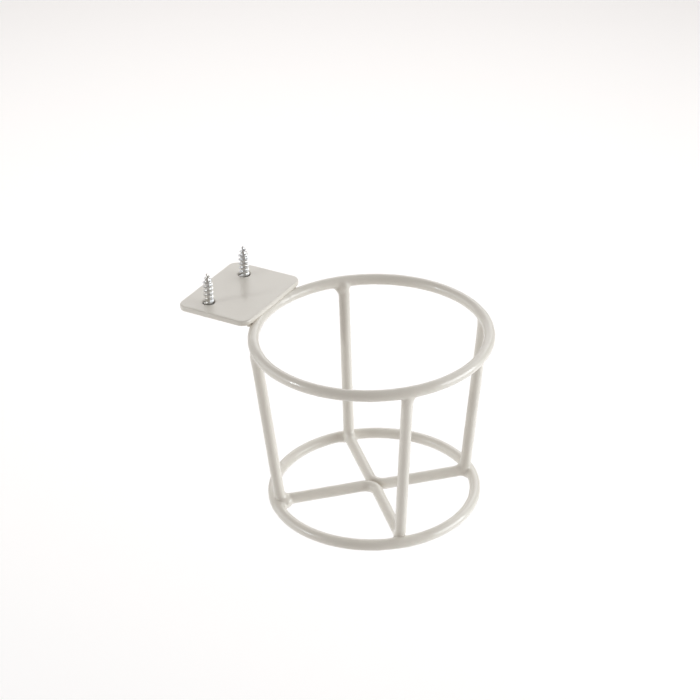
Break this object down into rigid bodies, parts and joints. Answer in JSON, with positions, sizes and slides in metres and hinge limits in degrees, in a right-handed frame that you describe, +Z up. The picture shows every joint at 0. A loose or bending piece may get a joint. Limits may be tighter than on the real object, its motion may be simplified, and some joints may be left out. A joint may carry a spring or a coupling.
{
  "type": "under-desk wire cup holder",
  "caption": "Round wire-basket cup holder on a flat plate that screws to the underside of a desk top, with welded rings, bent-wire posts and floor spokes.",
  "frame": {"origin": "middle of the mounting plate's top face, which touches the underside of the desk top", "axes": "+Z up out of the plate into the desk top, +Y in under the desk away from its edge, +X along the desk's edge; the basket hangs towards -Y and -Z"},
  "size_m": [0.094, 0.122, 0.0883],
  "materials": {
    "powder_coat": "satin off-white powder coat",
    "coated_weld": "weld bead under satin off-white powder coat",
    "zinc_plate": "bright zinc plate"
  },
  "bodies": {
    "holder": {"upper_ring": "powder_coat", "lower_ring": "powder_coat", "basket_wire_left": "powder_coat", "basket_wire_right": "powder_coat", "floor_weld": "coated_weld", "post_weld_rear_right": "coated_weld", "foot_weld_rear_right": "coated_weld", "post_weld_rear_left": "coated_weld", "foot_weld_rear_left": "coated_weld", "post_weld_front_left": "coated_weld", "foot_weld_front_left": "coated_weld", "post_weld_front_right": "coated_weld", "foot_weld_front_right": "coated_weld", "plate_weld_left": "coated_weld", "plate_weld_right": "coated_weld", "mounting_plate": "powder_coat"},
    "washer_left": {"washer_left": "zinc_plate"},
    "screw_left": {"screw_left": "zinc_plate"},
    "washer_right": {"washer_right": "zinc_plate"},
    "screw_right": {"screw_right": "zinc_plate"}
  },
  "joints": [
    {"name": "screw_travel_left", "type": "slide", "parent": "holder", "child": "washer_left", "axis": [0, 0, -1], "range_m": [0, 0.0126]},
    {"name": "screw_turn_left", "type": "hinge", "parent": "washer_left", "child": "screw_left", "pos_m": [-0.013, 0.006, -0.0027], "axis": [0, 0, -1], "range_deg": [0, 2520]},
    {"name": "screw_travel_right", "type": "slide", "parent": "holder", "child": "washer_right", "axis": [0, 0, -1], "range_m": [0, 0.0126]},
    {"name": "screw_turn_right", "type": "hinge", "parent": "washer_right", "child": "screw_right", "pos_m": [0.013, 0.006, -0.0027], "axis": [0, 0, -1], "range_deg": [0, 2520]}
  ],
  "couplings": [
    {"joint": "screw_turn_left", "follows": "screw_travel_left", "rad_per_m": 3490.7},
    {"joint": "screw_turn_right", "follows": "screw_travel_right", "rad_per_m": 3490.7}
  ]
}
